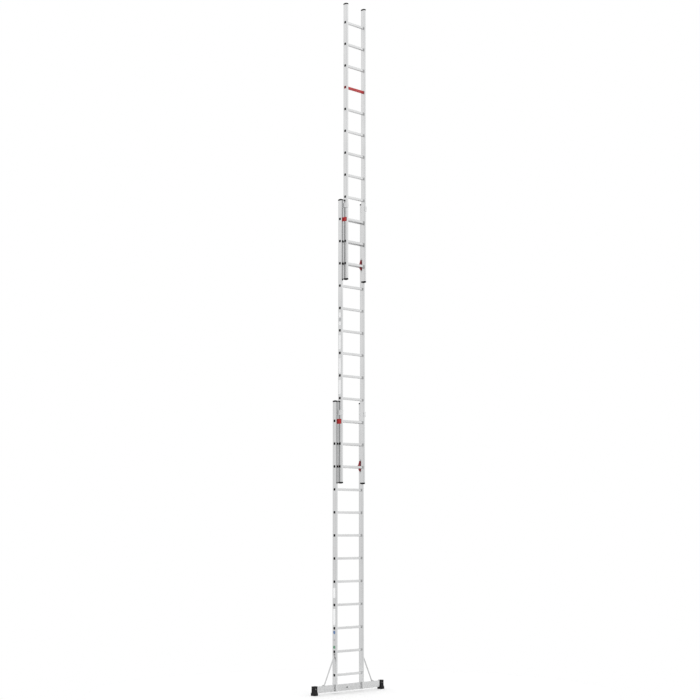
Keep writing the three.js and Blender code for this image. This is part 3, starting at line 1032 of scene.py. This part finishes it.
def add_lug_pair(section, side):
    """Ears that carry the hook's pin, each on its own riveted foot plate."""
    sign = SIDES[side]
    face = section.inner
    outer = lug_outline()
    hole = [(LUG_HOLE * c, LUG_HOLE * s) for c, s in circle(40)]
    bm = bmesh.new()
    for z, away in ((section.first + HOOK_HIGH + LUG_GAP, 1.0),
                    (section.first + HOOK_LOW - LUG_GAP - LUG_THICKNESS, -1.0)):
        top = z + LUG_THICKNESS
        stages = ((hole, z, 1.0), (outer, z, LUG_BEVEL_GROW), (outer, z + LUG_BEVEL, 1.0),
                  (outer, top - LUG_BEVEL, 1.0), (outer, top, LUG_BEVEL_GROW), (hole, top, 1.0))
        loft(bm, [[(sign * (face - PIN_INSET - u * grow), section.y + PIN_BACK + v * grow, height)
                   for u, v in points] for points, height, grow in stages], "joined")
        plate_z = z + LUG_THICKNESS / 2 + away * PLATE_LIFT
        prism(bm, rounded_points(*PLATE_SIZE, PLATE_CORNER), -PLATE_SUNK, PLATE_PROUD,
              lambda u, v, w: (sign * (face - w), section.y + PLATE_BACK + u, plate_z + v))
    add_piece(f"{section.name}_{side}_hook_lugs", bm, STRAP_METAL, section.body)
    spots = [((sign * (face - PLATE_PROUD), section.y + PLATE_BACK, section.first + z),
              (-sign, 0, 0)) for z in (HOOK_HIGH + PLATE_RIVET, HOOK_LOW - PLATE_RIVET)]
    add_rivets(f"{section.name}_{side}_lug_rivets", spots, section.body,
               STRAP_METAL, 0.0032, 0.0015)


for lower, upper in (("base", "mid"), ("mid", "top")):
    for side in SIDES:
        add_guide(sections[lower], side)
        add_stop(sections[upper], side)
        add_hook(sections[upper], side)
        add_lug_pair(sections[upper], side)


# ---- Plain labels on the left rails

WHITE = film("label_white", (0.96, 0.965, 0.97), fade=0.5)
PALE_GREY = film("label_grey", (0.45, 0.46, 0.47))
BLUE = film("label_blue", (0.05, 0.15, 0.36))
GREEN = film("label_green", (0.045, 0.26, 0.12))

LABEL_SUNK, LABEL_PROUD, BAND_PROUD = 0.0001, 0.00025, 0.00040
LABEL_CORNER, LABEL_CORNER_SHARE = 0.003, 0.3
NOT_QUITE_ROUND = 1e-5
WIDE, NARROW = 0.038, 0.034


def add_label(name, low, high, width, material, bands, round_ends):
    """Thin film on a left rail's outer face, between two heights above its section's first
    rung, with raised bands, each given as (from, to, inset): shares of the label's height and
    the distance in from its sides."""
    section = sections[name.split("_")[0]]
    z_low, tall = section.first + low, high - low
    bm = bmesh.new()

    def sheet(start, stop, wide, back, front):
        height = tall * (stop - start)
        middle = z_low + tall * (start + stop) / 2
        if round_ends:
            corner = min(wide, height) / 2 - NOT_QUITE_ROUND
        else:
            corner = min(LABEL_CORNER, height * LABEL_CORNER_SHARE)
        prism(bm, rounded_points(wide, height, corner, 8), back, front,
              lambda u, v, w: (-section.half - w, section.y + u, middle + v))

    sheet(0.0, 1.0, width, -LABEL_SUNK, LABEL_PROUD)
    for start, stop, inset in bands:
        sheet(start, stop, width - 2 * inset, 0.0, BAND_PROUD)
    add_piece(name, bm, material, section.body, even=False)


SQUARE_LABELS = {
    "mid_label_lavender": (1.847, 1.902, NARROW, WHITE, (0.08, 0.92, 0.002)),
    "mid_label_slate": (1.797, 1.834, NARROW, PALE_GREY, (0.12, 0.88, 0.002)),
    "mid_label_grey": (1.747, 1.785, NARROW, WHITE, (0.10, 0.90, 0.002)),
    "mid_label_tall": (1.448, 1.622, WIDE, WHITE, (0.06, 0.30, 0.006), (0.90, 0.95, 0.005)),
    "mid_label_middle": (1.155, 1.331, WIDE, WHITE, (0.10, 0.16, 0.006), (0.84, 0.90, 0.006)),
    "mid_label_lower": (0.891, 1.064, WIDE, WHITE, (0.88, 0.94, 0.006)),
    "base_label_pink": (0.924, 1.045, WIDE, WHITE, (0.30, 0.62, 0.008)),
    "base_label_tall": (0.600, 0.792, WIDE, WHITE, (0.20, 0.30, 0.006), (0.62, 0.84, 0.006)),
}
ROUND_LABELS = {
    "base_label_blue": (0.490, 0.532, NARROW, BLUE, (0.30, 0.70, 0.012)),
    "base_label_pale": (0.408, 0.434, 0.026, PALE_GREY, (0.15, 0.85, 0.002)),
    "base_label_green": (0.314, 0.352, 0.036, GREEN, (0.34, 0.66, 0.014)),
}
for labels in (SQUARE_LABELS, ROUND_LABELS):
    for name, (low, high, width, material, *bands) in labels.items():
        add_label(name, low, high, width, material, bands, labels is ROUND_LABELS)


# ---- Floor, light and camera

FLOOR_RADIUS = 3.2
SKY_SPREAD = 0.6
SKY_BELOW, SKY_ABOVE = 0.78, 1.16
SKY_BEHIND, SKY_AHEAD = 0.99, 1.07
DIM_SIDE, DIM_SHARE, DIM_SPREAD = (-0.74, -0.67, 0.14), 0.60, (0.57, 0.92)
SUN_DIRECTION = (0.25, 0.30, -1.0)
SUN_STRENGTH = 0.22
SUN_ANGLE = 70.0
CAMERA_PLACE = (-14.959, -13.605, 1.938)
CAMERA_PITCH = 6.3647
CAMERA_TURN = -47.6583
CAMERA_LENS = 84.03
CAMERA_SENSOR = 36.0
CAMERA_REACH = 300.0


def add_floor():
    """Pale studio floor; it ends where the white backdrop takes over."""
    box = Paintbox("studio_floor")
    cloud = box.noise(0.7, 3.0, 0.5)
    speck = box.noise(240.0, 2.0, 0.5)
    material = box.finish(box.mix(cloud, grey(0.85), grey(0.87)),
                          box.between(cloud, 0.3, 0.7, 0.78, 0.86),
                          box.bump(speck, 0.02, 0.0003))
    bm = bmesh.new()
    bmesh.ops.create_circle(bm, cap_ends=True, segments=96, radius=FLOOR_RADIUS)
    add_object("studio_floor", bm, material)


def light_world():
    """White backdrop; what the metal mirrors falls off towards the ground, is a little
    brighter in front than behind, and is dim where the photographer stands."""
    world = bpy.data.worlds.new("studio")
    bpy.context.scene.world = world
    world.use_nodes = True
    tree = world.node_tree
    tree.nodes.clear()
    view = add_node(tree, "ShaderNodeTexCoord", "Generated", {})

    def along(direction, at_minus, at_plus, start=-SKY_SPREAD, stop=SKY_SPREAD):
        """A level that runs from at_minus to at_plus as the view turns along direction."""
        turned = add_node(tree, "ShaderNodeVectorMath", "Value",
                          {0: view, 1: Vector(direction).normalized()}, operation="DOT_PRODUCT")
        return add_node(tree, "ShaderNodeMapRange", "Result",
                        {0: turned, 1: start, 2: stop, 3: at_minus, 4: at_plus},
                        interpolation_type="SMOOTHSTEP")

    def multiply(first, second):
        return add_node(tree, "ShaderNodeMath", "Value", {0: first, 1: second},
                        operation="MULTIPLY")

    def background(strength):
        return add_node(tree, "ShaderNodeBackground", "Background",
                        {"Color": (1, 1, 1, 1), "Strength": strength})

    sky = multiply(along(UP, SKY_BELOW, SKY_ABOVE), along((1, -1, 0), SKY_BEHIND, SKY_AHEAD))
    sky = multiply(sky, along(DIM_SIDE, 1.0, DIM_SHARE, *DIM_SPREAD))
    seen = add_node(tree, "ShaderNodeLightPath", "Is Camera Ray", {})
    either = add_node(tree, "ShaderNodeMixShader", "Shader",
                      {"Fac": seen, 1: background(sky), 2: background(1.0)})
    output = tree.nodes.new("ShaderNodeOutputWorld")
    tree.links.new(either, output.inputs["Surface"])


def add_sun():
    """Broad overhead light, soft enough to leave no edge to a shadow."""
    light = bpy.data.lights.new("top_light", "SUN")
    light.energy = SUN_STRENGTH
    light.angle = math.radians(SUN_ANGLE)
    lamp = link_object("top_light", light)
    lamp.rotation_euler = Vector(SUN_DIRECTION).to_track_quat("-Z", "Y").to_euler()


def add_camera():
    lens = bpy.data.cameras.new("photo_camera")
    lens.lens = CAMERA_LENS
    lens.sensor_width = CAMERA_SENSOR
    lens.clip_end = CAMERA_REACH
    camera = link_object("photo_camera", lens)
    camera.location = CAMERA_PLACE
    camera.rotation_euler = (math.radians(90.0 + CAMERA_PITCH), 0.0, math.radians(CAMERA_TURN))
    bpy.context.scene.camera = camera


add_floor()
light_world()
add_sun()
add_camera()
bpy.context.scene.view_settings.view_transform = "Standard"
bpy.context.scene.view_settings.look = "None"
